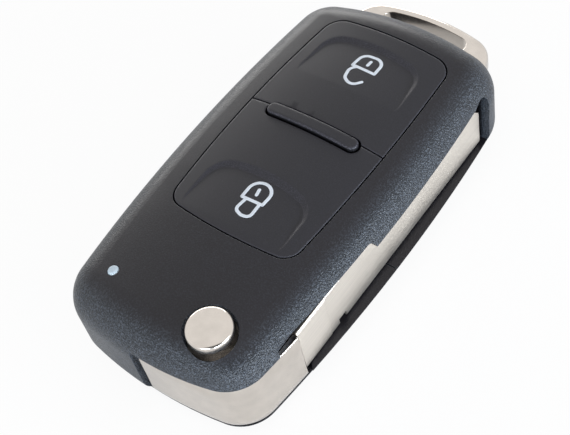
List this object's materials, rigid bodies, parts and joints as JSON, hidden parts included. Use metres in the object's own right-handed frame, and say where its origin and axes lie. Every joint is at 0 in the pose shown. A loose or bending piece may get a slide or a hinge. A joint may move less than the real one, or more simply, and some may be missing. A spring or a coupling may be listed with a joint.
{
  "type": "flip key fob shell",
  "caption": "Empty folding car key fob housing with push buttons, release button, flip head with a blank blade and a key-ring loop.",
  "frame": {"origin": "on the flat back, at the middle of the length with the key-ring loop and of the case's width", "axes": "+Z out of the back towards the buttons, +Y from the flip hinge to the key-ring loop, +X to the side that the folded blade lies in"},
  "size_m": [0.0366, 0.0748, 0.0183],
  "materials": {
    "case_black": "satin black ABS with a fine moulded texture",
    "button_black": "smooth satin black ABS",
    "bare_plastic": "plain black acetal",
    "nickel_plate": "satin nickel-chrome plate on zinc",
    "blade_steel": "nickel-plated blank, not cut",
    "spring_steel": "drawn wire",
    "screw_steel": "zinc plated",
    "silicone": "matt silicone rubber",
    "light_clear": "clear moulded light pipe"
  },
  "bodies": {
    "case": {"front_shell": "case_black", "rear_shell": "case_black", "centre_bar": "button_black", "keypad_mat": "silicone", "light_pipe": "light_clear", "key_ring_loop": "nickel_plate", "flip_spring": "spring_steel", "spring_foot": "bare_plastic", "pivot_screw": "screw_steel", "case_screw_hinge": "screw_steel", "case_screw_side": "screw_steel"},
    "flip_head": {"blade_head": "nickel_plate", "key_blade": "blade_steel", "blade_pin": "spring_steel"},
    "release": {"release_button": "nickel_plate"},
    "lock": {"lock_button": "button_black"},
    "unlock": {"unlock_button": "button_black"},
    "cover": {"battery_cover": "case_black"}
  },
  "joints": [
    {"name": "flip_hinge", "type": "hinge", "parent": "case", "child": "flip_head", "pos_m": [0.0087, -0.0305, 0], "axis": [0, 0, 1], "range_deg": [-180, 0]},
    {"name": "release_press", "type": "slide", "parent": "flip_head", "child": "release", "axis": [0, 0, -1], "range_m": [0, 0.002], "stiffness_N_per_m": 1200, "springref_m": -0.001, "deforming": ["flip_spring"]},
    {"name": "lock_press", "type": "slide", "parent": "case", "child": "lock", "axis": [0, 0, -1], "range_m": [0, 0.0006], "stiffness_N_per_m": 3000, "springref_m": -0.0001, "deforming": ["keypad_mat"]},
    {"name": "unlock_press", "type": "slide", "parent": "case", "child": "unlock", "axis": [0, 0, -1], "range_m": [0, 0.0006], "stiffness_N_per_m": 3000, "springref_m": -0.0001, "deforming": ["keypad_mat"]},
    {"name": "cover_pull", "type": "slide", "parent": "case", "child": "cover", "axis": [0, 0, -1], "range_m": [0, 0.012]}
  ]
}
